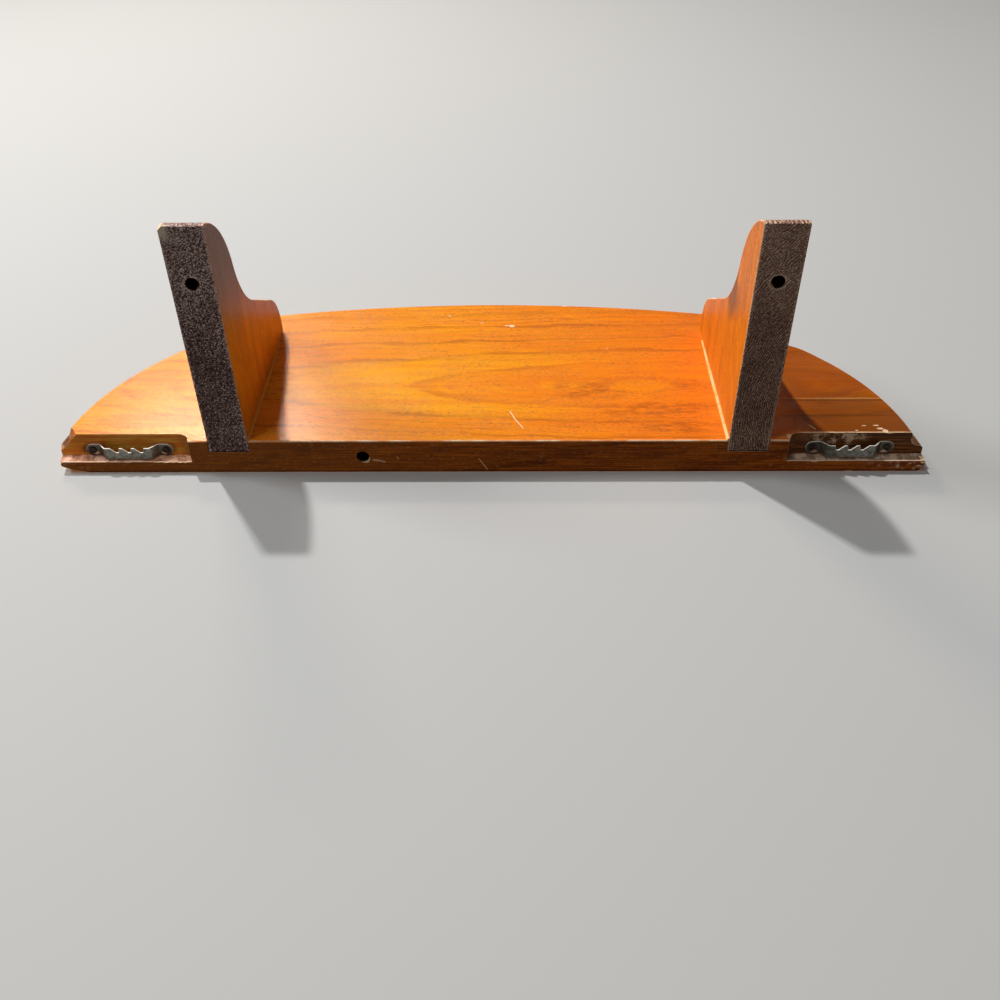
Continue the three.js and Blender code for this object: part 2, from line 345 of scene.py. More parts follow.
def blend(tree, amount, a, b, kind="MIX"):
    """Lays colour b over colour a."""
    mixed = add(tree, "Mix", {"Factor": amount}, data_type="RGBA", blend_type=kind)
    for socket, value in ((mixed.inputs[6], a), (mixed.inputs[7], b)):
        if isinstance(value, bpy.types.NodeSocket):
            tree.links.new(value, socket)
        else:
            socket.default_value = (*value, 1)
    return mixed.outputs[2]


def new_group(name, values, outputs):
    """A group with the input Place, an input for each of these values, and these outputs."""
    tree = bpy.data.node_groups.new(name, "ShaderNodeTree")
    tree.interface.new_socket("Place", in_out="INPUT", socket_type="NodeSocketVector")
    for label, value in values.items():
        socket = tree.interface.new_socket(label, in_out="INPUT", socket_type="NodeSocketFloat")
        socket.default_value = value
    for label in outputs:
        tree.interface.new_socket(label, in_out="OUTPUT", socket_type="NodeSocketFloat")
    return tree, tree.nodes.new("NodeGroupInput").outputs, tree.nodes.new("NodeGroupOutput").inputs


def wood_figure():
    """Growth rings round a pith that runs along X, with fibres and pores. Place is in millimetres.
    The pith comes to the surface at Heart X and Heart Y and sinks away from there to Depth."""
    tree, given, made = new_group(
        "wood figure", {"Heart X": 84.0, "Heart Y": -52.5, "Depth": 3.0, "Wander": 1.0},
        ("Line", "Band", "Tone", "Streak", "Fibre", "Pores"))
    ring_width = 14.4
    parts = add(tree, "SeparateXYZ", {0: given["Place"]}).outputs

    def noise(detail, roughness, *size):
        return cloud(tree, given["Place"], 1, detail, roughness, size)

    def give(name, socket):
        tree.links.new(socket, made[name])

    slow = times(tree, less(tree, noise(2, 0.5, 0.011, 0.03, 0.03), 0.5), 11)
    quick = times(tree, less(tree, noise(3, 0.6, 0.045, 0.12, 0.12), 0.5), 6)
    jagged = times(tree, less(tree, noise(3, 0.7, 0.16, 0.7, 0.7), 0.5), 2.4)
    drift = times(tree, plus(tree, slow, quick, jagged), given["Wander"])
    across = plus(tree, less(tree, parts["Y"], given["Heart Y"]), drift)
    along = apart(tree, parts["X"], given["Heart X"])
    sunk = work_out(tree, "SMOOTH_MIN", times(tree, along, 0.3),
                    plus(tree, times(tree, along, 0.15), given["Depth"]), 4)
    depth = plus(tree, times(tree, less(tree, parts["Z"], UNDERSIDE), 0.6), sunk)
    radius = work_out(tree, "SQRT", plus(tree, times(tree, across, across), times(tree, depth, depth)))
    turns = plus(tree, work_out(tree, "DIVIDE", radius, ring_width), 0.42)
    ring = work_out(tree, "FRACT", turns)
    late = times(tree, spread(tree, ring, 0.5, 0.95), spread(tree, ring, 0.955, 1.0, 1.0, 0.0))
    broken = spread(tree, noise(3, 0.6, 0.02, 0.25, 0.25), 0.34, 0.6, 0.25, 1.0)
    first = times(tree, work_out(tree, "POWER", late, 3.0), broken, spread(tree, turns, 1.5, 2.5, 0.35, 1.0))
    inner_ring = work_out(tree, "FRACT", times(tree, turns, 3.3))
    second = times(tree, work_out(tree, "POWER", inner_ring, 5.0), spread(tree, turns, 2.2, 3.2, 0.0, 0.9),
                   spread(tree, noise(3, 0.6, 0.015, 0.2, 0.2), 0.36, 0.58))
    give("Line", work_out(tree, "MAXIMUM", first, second))
    give("Band", times(tree, spread(tree, turns, 1.8, 2.1), spread(tree, turns, 2.85, 3.0, 1.0, 0.0)))
    yearly = add(tree, "TexNoise", {"W": times(tree, turns, 1.3), "Detail": 2.0},
                 noise_dimensions="1D").outputs["Fac"]
    give("Tone", plus(tree, times(tree, yearly, 0.6), times(tree, noise(3, 0.55, 0.012, 0.06, 0.06), 0.4)))
    give("Streak", noise(4, 0.6, 0.01, 0.3, 0.3))
    give("Fibre", noise(4, 0.7, 0.07, 1.3, 1.3))
    dashes = spread(tree, noise(4, 0.75, 0.45, 1.9, 1.9), 0.515, 0.63)
    give("Pores", times(tree, dashes, spread(tree, noise(2, 0.5, 0.03, 0.1, 0.1), 0.3, 0.6, 0.4, 1.0)))
    return tree


def wear():
    """Random scuffs: a mask that is 1 where the surface is rubbed. Amount runs from 0 to 1."""
    tree, given, made = new_group("wear", {"Size": 1.0, "Amount": 0.5}, ("Mask", "Dust"))
    scale = work_out(tree, "DIVIDE", 1.0, given["Size"])
    grain = add(tree, "VectorMath", {0: given["Place"], "Scale": scale}, operation="SCALE").outputs[0]
    fine = cloud(tree, grain, 0.9, 4.0, 0.7)
    both = plus(tree, times(tree, cloud(tree, grain, 0.12), 0.55), times(tree, fine, 0.45))
    edge = less(tree, 0.72, times(tree, given["Amount"], 0.42))
    tree.links.new(spread(tree, less(tree, both, edge), -0.03, 0.03), made["Mask"])
    tree.links.new(spread(tree, fine, 0.35, 0.75), made["Dust"])
    return tree


FIGURE = wood_figure()
WEAR = wear()
PALE_ARRIS = (0.98, 0.68, 0.42)
LINE_BROWN = (0.4, 0.09, 0.006)


class Finish:
    """A material in the making: its tree, its shader and the place in millimetres. Its colour is laid on
    in coats."""

    def __init__(self, name, colour, roughness, metallic=0.0, **inputs):
        self.material = bpy.data.materials.new(name)
        self.material.use_nodes = True
        self.tree = self.material.node_tree
        self.shader = self.tree.nodes["Principled BSDF"]
        inputs.update(Base_Color=(*colour, 1), Roughness=roughness, Metallic=metallic)
        for key, value in inputs.items():
            self.shader.inputs[key.replace("_", " ")].default_value = value
        here = add(self.tree, "TexCoord").outputs["Object"]
        self.place = add(self.tree, "VectorMath", {0: here, 1: (1000, 1000, 1000)},
                         operation="MULTIPLY").outputs[0]
        self.x, self.y, self.z = add(self.tree, "SeparateXYZ", {0: self.place}).outputs
        self.colour = None

    def group(self, tree, place=None, **values):
        made = add(self.tree, "Group", {"Place": place or self.place}, node_tree=tree)
        for key, value in values.items():
            made.inputs[key.replace("_", " ")].default_value = value
        return made.outputs

    def noise(self, detail, roughness, *size):
        return cloud(self.tree, self.place, 1, detail, roughness, size)

    def set(self, name, socket):
        self.tree.links.new(socket, self.shader.inputs[name])

    def paint(self, colour):
        self.colour = colour
        self.set("Base Color", colour)

    def lay(self, mask, colour, strength=None, under=None):
        """Lays a colour where the mask is 1, over what is there or over the one given as under."""
        if strength is not None:
            mask = times(self.tree, mask, strength)
        self.paint(blend(self.tree, mask, under or self.colour, colour))

    def tint(self, mask, colour):
        """Multiplies what is there by a colour where the mask is 1."""
        self.paint(blend(self.tree, mask, self.colour, colour, "MULTIPLY"))

    def gloss(self, value, low, high, smooth_end, rough_end):
        self.set("Roughness", spread(self.tree, value, low, high, smooth_end, rough_end))

    def relief(self, height, depth, strength=1.0):
        """Bumps the surface by this many millimetres."""
        bump = add(self.tree, "Bump", {"Strength": strength, "Distance": depth * MM, "Height": height})
        self.set("Normal", bump.outputs[0])


def around(f, x, y, z, reach_x, reach_y, reach_z, ragged=0.3):
    """A mask that is 1 at a place and fades out, unevenly, over this reach."""
    t = f.tree
    offset = add(t, "VectorMath", {0: f.place, 1: (x, y, z)}, operation="SUBTRACT").outputs[0]
    offset = add(t, "VectorMath", {0: offset, 1: (1 / reach_x, 1 / reach_y, 1 / reach_z)},
                 operation="MULTIPLY").outputs[0]
    uneven = f.noise(3, 0.6, 0.6 / reach_x, 0.6 / reach_y, 0.6 / reach_z)
    far = plus(t, length(t, offset), times(t, less(t, uneven, 0.5), 3 * ragged))
    return spread(t, far, 0.35, 1.0, 1.0, 0.0)


def varnished_board():
    f = Finish("board varnish", (0.9, 0.3, 0.012), 0.3, Specular_IOR_Level=0.4)
    t = f.tree
    wood = f.group(FIGURE)
    f.lay(spread(t, wood["Tone"], 0.4, 0.62), (0.98, 0.36, 0.009), under=(0.92, 0.29, 0.018))
    f.lay(wood["Band"], (0.97, 0.4, 0.01), spread(t, f.x, 10, 70, 0.85, 0.1))
    f.lay(spread(t, wood["Streak"], 0.42, 0.62, 0.0, 0.5), (0.85, 0.22, 0.012))
    # Darker and redder towards the right: painted shade, for light that falls off towards the right
    f.tint(spread(t, f.x, -60, 130), (0.96, 0.68, 0.5))
    f.lay(spread(t, wood["Fibre"], 0.48, 0.72, 0.0, 0.4), (0.5, 0.12, 0.006))
    f.lay(wood["Line"], LINE_BROWN, 0.62)

    # Golden streaks at the left end
    light = spread(t, f.noise(4, 0.65, 0.02, 0.14, 0.14), 0.48, 0.6)
    f.lay(light, (0.99, 0.42, 0.012), spread(t, f.x, -125, -165, 0.0, 0.4))

    # Smoky patches round the heart of the figure, and the plain leaf in the middle of it
    smoke = 0.0
    for x, y, reach_x, reach_y, ragged in (
        (56, -48, 26, 13, 0.6), (94, -28, 40, 11, 0.5), (114, -52, 20, 11, 0.5), (106, -12, 30, 8, 0.5),
    ):
        patch = around(f, x, y, UNDERSIDE, reach_x, reach_y, 20, ragged)
        smoke = work_out(t, "MAXIMUM", smoke, patch)
    hollow = spread(t, f.noise(5, 0.75, 0.1, 0.36, 0.36), 0.42, 0.58)
    f.lay(times(t, smoke, hollow), (0.42, 0.09, 0.008), 0.65)
    f.lay(around(f, 84, -50, -10, 26, 8.5, 20, 0.12), (0.9, 0.27, 0.006), 0.6)

    # The right end's underside is browned and darkened: painted shade. Next to the bracket, where the bracket
    # casts its own shadow, the painted shade is taken back. The dark patch further out is painted shadow.
    below = spread(t, f.z, -9.5, -7, 1.0, 0.3)
    light = times(t, around(f, 152, -20, UNDERSIDE, 22, 70, 9, 0.1), 0.72)
    brown = work_out(t, "SUBTRACT", times(t, spread(t, f.x, 138, 165), below), light, clamp=True)
    f.tint(brown, (0.52, 0.47, 0.25))
    f.lay(around(f, 192, -34, UNDERSIDE, 22, 12, 9, 0.5), (0.1, 0.042, 0.003), 0.3)
    dark = (0.13, 0.035, 0.004)
    for y, grain in ((-38, (0.75, 0.3, 0.06)), (-36.4, dark), (-22, dark)):
        f.lay(around(f, 188, y, UNDERSIDE, 46, 1.3, 9, 0.25), grain, 0.65)

    # Dirt in the moulding towards both ends
    ends = work_out(t, "ADD", spread(t, f.x, 196, 215), spread(t, f.x, -204, -216), clamp=True)
    f.lay(times(t, ends, spread(t, f.z, -9.9, -8.5), spread(t, f.y, -60, -20, 0.2, 1.0),
                spread(t, f.z, 3, 6, 1.0, 0.0)), (0.14, 0.05, 0.01))
    # Darker along the wall on the right: painted shade
    f.lay(times(t, spread(t, f.y, -46, -12), spread(t, f.x, 150, 186), below), (0.15, 0.045, 0.003), 0.62)
    f.lay(wood["Pores"], (0.24, 0.055, 0.006), 0.7)

    # The worn rim of the right recess
    rim = times(t, spread(t, f.y, -7.7, -7), spread(t, f.x, 160, 163), spread(t, f.z, -10, -9.8, 1.0, 0.0))
    f.lay(rim, PALE_ARRIS, spread(t, f.noise(3, 0.6, 0.2, 1.5, 0.1), 0.38, 0.5, 0.2, 0.9))
    peel = cloud(t, f.place, 1.4, 3, 0.6)
    f.gloss(peel, 0.3, 0.75, 0.17, 0.25)
    f.relief(less(t, peel, wood["Pores"]), 0.06, 0.5)
    return f.material


def dark_back_edge():
    f = Finish("board back edge", (0.34, 0.08, 0.012), 0.5, Specular_IOR_Level=0.08)
    t = f.tree
    wood = f.group(FIGURE, Heart_X=-300.0, Wander=1.5)
    streaks = f.noise(5, 0.7, 0.03, 0.6, 1.1)
    f.lay(spread(t, streaks, 0.36, 0.66), (0.62, 0.15, 0.008), under=(0.24, 0.038, 0.002))
    f.lay(wood["Line"], (0.1, 0.02, 0.004), 0.6)
    # Lighter towards the left: painted light, for light that falls off towards the right
    f.lay(spread(t, f.x, 40, -150, 0.0, 0.4), (0.5, 0.17, 0.03))
    f.lay(spread(t, f.noise(2, 0.5, 0.3, 2.0, 2.0), 0.6, 0.7), (0.85, 0.5, 0.26), 0.4)
    f.lay(wood["Pores"], (0.06, 0.013, 0.004), 0.5)
    ends = work_out(t, "ADD", spread(t, f.x, 188, 215), spread(t, f.x, -200, -225, 0.0, 0.4), clamp=True)
    scuffs = f.group(WEAR, Size=0.36, Amount=0.36)["Mask"]
    f.lay(times(t, ends, scuffs), (0.95, 0.62, 0.42), 0.85)
    # Darker along the top arris, where the board lies on the floor: painted contact shade
    foot = plus(t, f.z, times(t, streaks, 0.8))
    f.lay(spread(t, foot, TOP - 1.2, TOP + 0.2), (0.05, 0.012, 0.004), 0.8)
    f.gloss(streaks, 0.3, 0.8, 0.4, 0.65)
    f.relief(streaks, 0.12, 0.7)
    return f.material


def routed_wood():
    """The recess floors: brown and streaky on the left, dark and flaked on the right."""
    f = Finish("routed wood", (0.4, 0.14, 0.02), 0.6, Specular_IOR_Level=0.2)
    t = f.tree
    streaks = f.noise(4, 0.65, 0.045, 0.6, 0.9)
    f.lay(spread(t, streaks, 0.36, 0.66), (1.0, 0.53, 0.075), under=(0.86, 0.185, 0.012))
    for end in (-1, 1):
        tab = around(f, end * NAIL_REACH - HANGER_X, -RECESS_DEPTH, HANGER_Z["left"] - 0.5, 8, 6, 4.6)
        f.lay(tab, (0.06, 0.022, 0.006), 0.85)
    f.lay(spread(t, f.x, -164, -157, 0.0, 0.7), (0.14, 0.045, 0.008))
    darker_right_floor = blend(t, spread(t, streaks, 0.4, 0.7), (0.09, 0.028, 0.007), (0.38, 0.13, 0.025))
    middle = around(f, 183, -RECESS_DEPTH, -6.5, 22, 8, 5, 0.5)
    flakes = times(t, middle, f.group(WEAR, Size=0.8, Amount=0.52)["Mask"], 0.9)
    f.lay(spread(t, f.x, -20, 20), blend(t, flakes, darker_right_floor, (0.98, 0.66, 0.42)))
    f.relief(streaks, 0.25, 0.8)
    return f.material


def bare_ledge():
    """Bare wood with the router's marks: warm on the left, grey on the right, palest at the wall."""
    f = Finish("bare ledge wood", (0.5, 0.33, 0.24), 0.75, Specular_IOR_Level=0.2)
    t = f.tree
    ticks = f.noise(2, 0.5, 1.1, 0.15, 0.5)
    soft = cloud(t, f.place, 0.2, 3)
    patches = spread(t, soft, 0.38, 0.62)
    f.lay(patches, (0.92, 0.52, 0.36), under=(0.5, 0.21, 0.11))
    f.lay(spread(t, f.x, -20, 20), blend(t, patches, (0.42, 0.27, 0.17), (0.74, 0.54, 0.39)))
    f.lay(spread(t, ticks, 0.5, 0.68, 0.0, 0.55), (0.14, 0.06, 0.03))
    f.lay(spread(t, plus(t, f.y, times(t, soft, 1.2)), -0.6, 0.3, 0.0, 0.8), (0.97, 0.7, 0.5))
    fresh = times(t, spread(t, f.x, -180, -170), spread(t, f.x, -150, -156),
                  spread(t, cloud(t, f.place, 0.45, 3), 0.42, 0.6))
    f.lay(fresh, (0.98, 0.6, 0.36))
    f.relief(plus(t, ticks, times(t, fresh, 3)), 0.15, 0.9)
    return f.material


def bare_wood():
    f = Finish("bare wood", (0.8, 0.56, 0.36), 0.8, Specular_IOR_Level=0.2)
    fibres = f.noise(3, 0.6, 0.4, 3, 3)
    f.lay(spread(f.tree, fibres, 0.35, 0.7), (0.99, 0.82, 0.6), under=(0.84, 0.52, 0.27))
    f.relief(fibres, 0.1, 0.8)
    return f.material


def worn_arris():
    f = Finish("worn arris", (0.6, 0.25, 0.06), 0.45, Specular_IOR_Level=0.25)
    t = f.tree
    rubbed = f.group(WEAR, Size=1.0, Amount=0.5)
    uneven = spread(t, f.noise(2, 0.5, 0.06, 0.06, 0.06), 0.38, 0.6, 0.2, 1.0)
    amount = times(t, plus(t, times(t, rubbed["Mask"], 0.45), 0.55), uneven)
    amount = work_out(t, "MAXIMUM", amount, spread(t, f.x, 141, 150, 0.0, 0.85))
    f.lay(amount, PALE_ARRIS, under=(0.75, 0.23, 0.03))
    f.relief(rubbed["Dust"], 0.05, 0.5)
    return f.material


def hole_wood():
    f = Finish("hole wood", (0.02, 0.01, 0.006), 0.9, Specular_IOR_Level=0.1)
    t = f.tree
    rings = f.noise(3, 0.6, 1, 3, 1)
    torn = times(t, spread(t, f.y, -1.4, -0.1), spread(t, rings, 0.35, 0.6))
    f.lay(torn, (0.2, 0.1, 0.05), under=(0.02, 0.009, 0.005))
    f.relief(rings, 0.2, 0.8)
    return f.material


def varnished_bracket():
    f = Finish("bracket varnish", (0.7, 0.19, 0.008), 0.3, Specular_IOR_Level=0.07)
    t = f.tree
    turned = add(t, "CombineXYZ", {0: f.z, 1: f.y, 2: f.x}).outputs[0]
    wood = f.group(FIGURE, turned, Heart_X=-260.0, Heart_Y=30.0, Depth=70.0, Wander=1.4)
    f.lay(spread(t, wood["Tone"], 0.4, 0.62), (0.98, 0.3, 0.005), under=(0.86, 0.22, 0.004))
    f.lay(spread(t, wood["Streak"], 0.42, 0.62, 0.0, 0.5), (0.66, 0.14, 0.006))
    f.lay(wood["Line"], LINE_BROWN, 0.15)
    f.lay(spread(t, f.noise(3, 0.6, 0.06, 0.06, 0.03), 0.46, 0.66, 0.0, 0.4), (0.5, 0.12, 0.006))
    f.lay(spread(t, wood["Fibre"], 0.48, 0.72, 0.0, 0.35), (0.5, 0.11, 0.006))
    f.lay(wood["Pores"], (0.18, 0.04, 0.006), 0.5)
    rubbed = f.group(WEAR, Size=3.0, Amount=0.22)
    f.lay(rubbed["Mask"], (0.8, 0.36, 0.1), 0.3)
    f.lay(around(f, 124.4, -38, -74, 8, 15, 19, 0.6), (0.16, 0.05, 0.012), 0.7)

    # The left bracket is yellower. It is darker towards its toe: painted shade, as on its inner side, which
    # is turned from the lamps.
    f.tint(spread(t, f.x, 0, -10), (0.92, 1.12, 0.5))
    f.lay(spread(t, f.z, -55, -105), (0.09, 0.034, 0.008), spread(t, f.x, 0, -10, 0.0, 0.75))
    end = spread(t, plus(t, f.z, times(t, rubbed["Dust"], 1.5)), TOE + 3.5, TOE + 1.2)
    f.lay(end, (0.42, 0.3, 0.25), 0.8)
    peel = cloud(t, f.place, 1.3, 3, 0.6)
    f.gloss(peel, 0.3, 0.75, 0.26, 0.44)
    f.relief(less(t, peel, wood["Pores"]), 0.06, 0.6)
    return f.material


def sawn_back(name, stain, rubbed, pale, ringed):
    """Dark stain on rough wood that is rubbed pale where it stands highest, most of all at its arrises
    and towards the toe. Ringed wood shows the arcs that a round saw leaves."""
    f = Finish(name, rubbed, 0.85, Specular_IOR_Level=0.06)
    t = f.tree
    grains = add(t, "TexVoronoi", {"Vector": f.place, "Scale": 2.6})
    grain = add(t, "SeparateColor", {0: grains.outputs["Color"]}).outputs[0]
    relief = plus(t, times(t, grain, 0.5 if ringed else 0.75),
                  times(t, cloud(t, f.place, 3.2, 3, 0.8), 0.6 if ringed else 0.35))
    if ringed:
        out = add(t, "VectorMath", {0: f.place, 1: SAW_CENTRE}, operation="SUBTRACT").outputs[0]
        radius = plus(t, length(t, out), times(t, cloud(t, f.place, 0.1, 2), 5))
        wave = work_out(t, "SINE", times(t, radius, math.tau / SAW_PITCH))
        relief = plus(t, relief, times(t, wave, 0.16))
    across = less(t, work_out(t, "ABSOLUTE", f.x), BRACKET_MIDDLE)
    half = BRACKET_THICKNESS / 2
    from_hole = add(t, "CombineXYZ", {0: across, 2: less(t, f.z, BRACKET_HOLE_Z)}).outputs[0]
    height = plus(
        t, relief,
        times(t, work_out(t, "MAXIMUM", f.y, -0.4), 0.2),
        times(t, cloud(t, f.place, 0.045, 2), 0.3),
        spread(t, f.z, -50, -118, 0.0, 0.12),
        spread(t, work_out(t, "ABSOLUTE", across), half - 1.8, half, 0.0, 0.26),
        spread(t, length(t, from_hole), HOLE_RADIUS, HOLE_RADIUS + 1.6, 0.22, 0.0))
    f.lay(spread(t, height, 0.42, 0.82), rubbed, under=stain)
    f.lay(spread(t, height, 0.88, 1.0), pale)
    # The worn outer corner of the left toe: pale tan wood, paler still as a painted highlight of light caught
    # on its rounding
    toe = around(f, -BRACKET_MIDDLE - 9.5, 0, TOE + 2.5, 4.5, 4, 6, 0.5)
    f.lay(toe, (0.98, 0.78, 0.56), spread(t, height, 0.3, 0.7, 0.3, 1.0))
    f.relief(relief, 0.3)
    return f.material


def zinc_plate():
    """Dull zinc, darker on its tabs, with a painted glint beside each nail."""
    f = Finish("zinc plate", (0.22, 0.23, 0.21), 0.4, 1.0)
    t = f.tree
    tarnish = cloud(t, f.place, 0.5, 4, 0.6)
    f.lay(spread(t, tarnish, 0.35, 0.7), (0.1, 0.1, 0.082), under=(0.23, 0.225, 0.19))
    out = apart(t, work_out(t, "ABSOLUTE", f.x), HANGER_X)
    tabs = spread(t, out, PLATEAU / 2 + 1, PLATEAU / 2 + RAMP + 1)
    f.lay(tabs, (0.07, 0.055, 0.04), 0.75)
    # A painted glint on each tab, beside the nail
    nail_glint = plus(t, apart(t, out, NAIL_REACH - 1.2), times(t, apart(t, f.z, 1.4), 1.4))
    f.lay(spread(t, nail_glint, 1.2, 2.6, 1.0, 0.0), (0.6, 0.5, 0.42), tabs)
    f.gloss(tarnish, 0.3, 0.7, 0.3, 0.5)
    f.relief(cloud(t, f.place, 2.5, 2), 0.03, 0.5)
    return f.material


def bright_edge():
    """The cut edges of the plate, painted pale as a highlight."""
    f = Finish("plate cut edge", (0.9, 0.86, 0.76), 0.4, 0.25)
    dull = cloud(f.tree, f.place, 0.8, 3, 0.6)
    f.lay(spread(f.tree, dull, 0.5, 0.7, 0.0, 0.6), (0.55, 0.52, 0.45), under=(0.98, 0.93, 0.82))
    f.gloss(dull, 0.3, 0.7, 0.3, 0.5)
    return f.material


def nail_steel():
    f = Finish("nail steel", (0.1, 0.09, 0.08), 0.45, 1.0)
    rust = cloud(f.tree, f.place, 1.2, 4, 0.6)
    f.lay(spread(f.tree, rust, 0.4, 0.65), (0.025, 0.012, 0.008), under=(0.06, 0.045, 0.035))
    f.gloss(rust, 0.3, 0.7, 0.35, 0.7)
    return f.material


def pooled_varnish():
    """Pale on the right in dusty patches: dust and painted highlight. Darker on the left: painted shade."""
    f = Finish("pooled varnish", (0.9, 0.5, 0.2), 0.6, Specular_IOR_Level=0.1)
    dust_and_highlight = f.group(WEAR, Size=1.5, Amount=0.6)["Mask"]
    # Pale patches: dust, and painted highlight along the fillet
    f.lay(dust_and_highlight, (0.98, 0.55, 0.22), under=(0.88, 0.34, 0.07))
    # Darker on the left: painted shade
    f.lay(spread(f.tree, f.x, 0, -10, 0.0, 0.85), (0.75, 0.26, 0.02))
    return f.material


VARNISH = varnished_board()
BACK_EDGE = dark_back_edge()
RECESS_WOOD = routed_wood()
LEDGE_WOOD = bare_ledge()
BARE_WOOD = bare_wood()
WORN_ARRIS = worn_arris()
DARK_HOLE = hole_wood()
BRACKET_VARNISH = varnished_bracket()
GRAINY_BACK = sawn_back(
    "grainy bracket back", (0.052, 0.027, 0.022), (0.275, 0.142, 0.118), (1.0, 0.78, 0.68), False)
SAWN_BACK = sawn_back(
    "sawn bracket back", (0.062, 0.034, 0.024), (0.365, 0.195, 0.135), (0.98, 0.68, 0.5), True)
ZINC = zinc_plate()
CUT_EDGE = bright_edge()
NAIL_METAL = nail_steel()
BEAD = pooled_varnish()


# The board

# Planes that the worn left end is cut back to, each with its way out and the finish that it gets
WORN_END = (
    ((-225.8, 0, 0), (-1, 0.12, 0), BACK), ((-224.6, 0, 3.4), (-5.2, 0.7, -1.9), BACK),
    ((-223, 0, 7.4), (-0.42, 0.1, 0.9), VARNISHED), ((-217.8, 0, 8.9), (-0.2, 0.08, 0.97), VARNISHED),
)
# How the moulding below a height is stretched at the left and right ends
WORN_MOULDING = ((-2.5, (1.02, 1.013)), (-4, (1.03, 1.02)), (-6, (1.035, 1.023)))
WORN_FROM = 190
# Flakes that are broken out, as place, size and seed
FLAKES = (
    ((-25.5, -128, UNDERSIDE), (2.2, 1.1, 0.4), 1), ((-5.5, -119.5, UNDERSIDE), (2, 1, 0.4), 2),
    ((12.5, -115.9, UNDERSIDE), (3.6, 3, 0.6), 3), ((9.5, -116.2, UNDERSIDE), (3, 1.1, 0.4), 16),
    ((45.2, -139.6, UNDERSIDE), (3, 1.5, 1), 4), ((67.8, -89.3, UNDERSIDE), (1.2, 1, 0.4), 5),
    ((206.8, -8, UNDERSIDE), (3, 3.6, 0.7), 6), ((204.6, -10.2, UNDERSIDE), (3.4, 1.8, 0.6), 17),
    ((203, -13, UNDERSIDE), (3.4, 1.3, 0.5), 7), ((208.6, -6.4, UNDERSIDE), (4, 1.6, 0.8), 18),
    ((196.8, -12.8, UNDERSIDE), (2.6, 0.9, 0.5), 8), ((192, -8.6, UNDERSIDE), (1.6, 1, 0.5), 19),
    ((156.2, -3.4, UNDERSIDE), (3, 4.4, 2.2), 9), ((171, 0, LEDGE + 0.1), (4, 0.9, 0.7), 10),
    ((-159.6, 0, LEDGE), (2.4, 1, 0.9), 11), ((-162.4, 0, LEDGE), (3, 1.2, 1), 20),
    ((-165.8, 0, LEDGE), (2.6, 0.9, 0.8), 21), ((-169.5, 0, LEDGE), (3.4, 1.1, 0.9), 22),
    ((-174.5, 0, LEDGE), (3, 0.8, 0.7), 23), ((-190, 0, LEDGE), (4, 0.7, 0.6), 12),
    ((227.2, 0, 4.1), (2.6, 1.4, 1.9), 13), ((225.4, 0, 6.6), (2, 0.7, 1), 24),
    ((221, 0, 4.8), (1.4, 0.6, 0.9), 25), ((190, 0, TOP), (5, 0.8, 0.6), 14),
)
HOLE_FLAKE = ((EDGE_HOLE_X + 0.95, 0, 1.1), (6.1, 0.9, 6.1), 15)
# Scratches, as points, width and depth
UNDERSIDE_SCRATCHES = (
    ([(11.6, -26.8, UNDERSIDE), (14, -19.8, UNDERSIDE), (18.5, -11.2, UNDERSIDE)], 0.55, (0, 0, 0.15)),
    ([(168.6, -13.6, UNDERSIDE), (171, -9.5, UNDERSIDE)], 0.5, (0, 0, 0.15)),
)
BACK_SCRATCHES = (
    ([(-60.4, 0, 2), (-57, 0, 2.6), (-53.8, 0, 3.6)], 1.0, (0, 0.4, 0)),
    ([(-47.6, 0, 0.2), (-46.6, 0, 1.8)], 0.6, (0, 0.3, 0)),
    ([(-4.6, 0, 1.4), (-2.6, 0, 4.8), (-0.2, 0, 8.6)], 0.55, (0, 0.3, 0)),
)


def plan_circles():
    """Centres of the right half's curves: bow, shoulder, throat, corner and end."""
    bow = Vector((0, BOW_RADIUS - BOARD_DEPTH))
    turn = math.asin(BOW_LENGTH / 2 / BOW_RADIUS)
    reach = BOW_RADIUS - SHOULDER_RADIUS
    shoulder = bow + reach * Vector((math.sin(turn), -math.cos(turn)))
    end = Vector((BOARD_LENGTH / 2 - math.sqrt(END_RADIUS**2 - END_SETBACK**2), END_SETBACK))
    bend = math.radians(CORNER_TURN)
    corner = end + (END_RADIUS - CORNER_RADIUS) * Vector((math.sin(bend), -math.cos(bend)))
    a, b = SHOULDER_RADIUS + THROAT_RADIUS, CORNER_RADIUS + THROAT_RADIUS
    along = corner - shoulder
    gap = along.length
    along.normalize()
    run = (a * a - b * b + gap * gap) / (2 * gap)
    throat = shoulder + run * along + math.sqrt(a * a - run * run) * Vector((-along.y, along.x)) * -1
    return bow, shoulder, throat, corner, end


def heading(start, finish):
    """Degrees from straight ahead, towards +X."""
    return math.degrees(math.atan2(finish.x - start.x, start.y - finish.y))


def edge_section():
    """The moulding's section at the middle of the front, from the top face to the underside."""
    front = -BOARD_DEPTH
    piece = start_point("board_finished", at(0, front + LIP_TOP_ROUND, TOP))
    arc(at(0, front + LIP_TOP_ROUND, TOP - LIP_TOP_ROUND), "X", 90, 8)
    shelf = TOP - LIP_HEIGHT
    line(0, 0, shelf + LIP_LOWER_ROUND - (TOP - LIP_TOP_ROUND))
    arc(at(0, front + LIP_LOWER_ROUND, shelf + LIP_LOWER_ROUND), "X", 90, 6)
    line(0, LIP_PROJECTION - COVE_RADIUS - LIP_LOWER_ROUND, 0)
    arc(at(0, front + LIP_PROJECTION - COVE_RADIUS, shelf - COVE_RADIUS), "X", -90, 8)
    line(0, 0, UNDERSIDE + ARRIS - (shelf - COVE_RADIUS))
    line(0, ARRIS, -ARRIS)
    return piece


